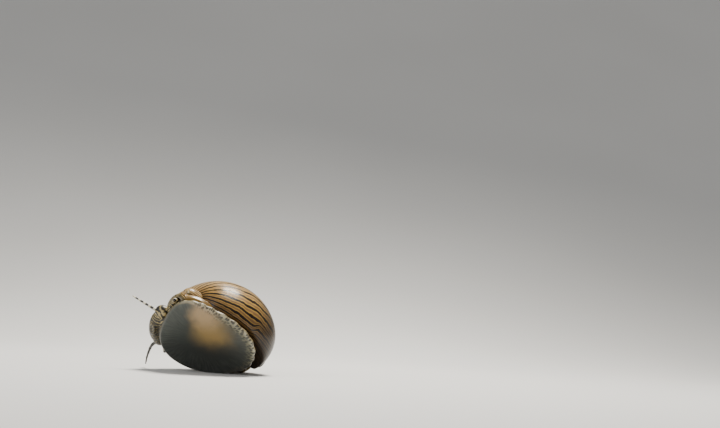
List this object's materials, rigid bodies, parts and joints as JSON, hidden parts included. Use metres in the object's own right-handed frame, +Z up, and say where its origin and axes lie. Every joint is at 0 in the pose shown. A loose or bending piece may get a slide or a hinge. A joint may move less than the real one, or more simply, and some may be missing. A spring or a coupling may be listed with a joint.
{
  "type": "nerite snail",
  "caption": "Still nerite snail with a rounded striped shell, broad oval foot, bilobed head, thin tentacles and eyes on short stalks, lying on its flank.",
  "frame": {"origin": "middle of the bounding box, on the floor the snail lies on", "axes": "+Z up from the floor; -Y is the side the sole faces, which is the side the picture was taken from; -X is the end the head points to"},
  "size_m": [0.0366, 0.0254, 0.0231],
  "materials": {
    "shell": "glossy, fine dark brown stripes over tan and gold",
    "spire": "worn, duller than the rest of the shell",
    "callus": "smooth, glossy golden yellow",
    "mantle": "moist, dark, frilled",
    "sole": "moist, slightly translucent, dark dots near the edge",
    "operculum": "horny, faintly grooved",
    "skin": "moist, cream with dark wavy marks",
    "lips": "moist, pale",
    "tentacle": "moist, dark with pale bands",
    "eye": "wet, glossy black"
  },
  "bodies": {
    "root": {"shell_body_whorl": "shell", "shell_spire": "spire", "shell_callus": "callus", "mantle_edge": "mantle", "foot": "sole", "operculum": "operculum", "neck": "skin", "head": "skin", "snout": "skin", "lips": "lips", "tentacle_left": "tentacle", "eyestalk_left": "skin", "eye_left": "eye", "tentacle_right": "tentacle", "eyestalk_right": "skin", "eye_right": "eye"}
  },
  "joints": []
}
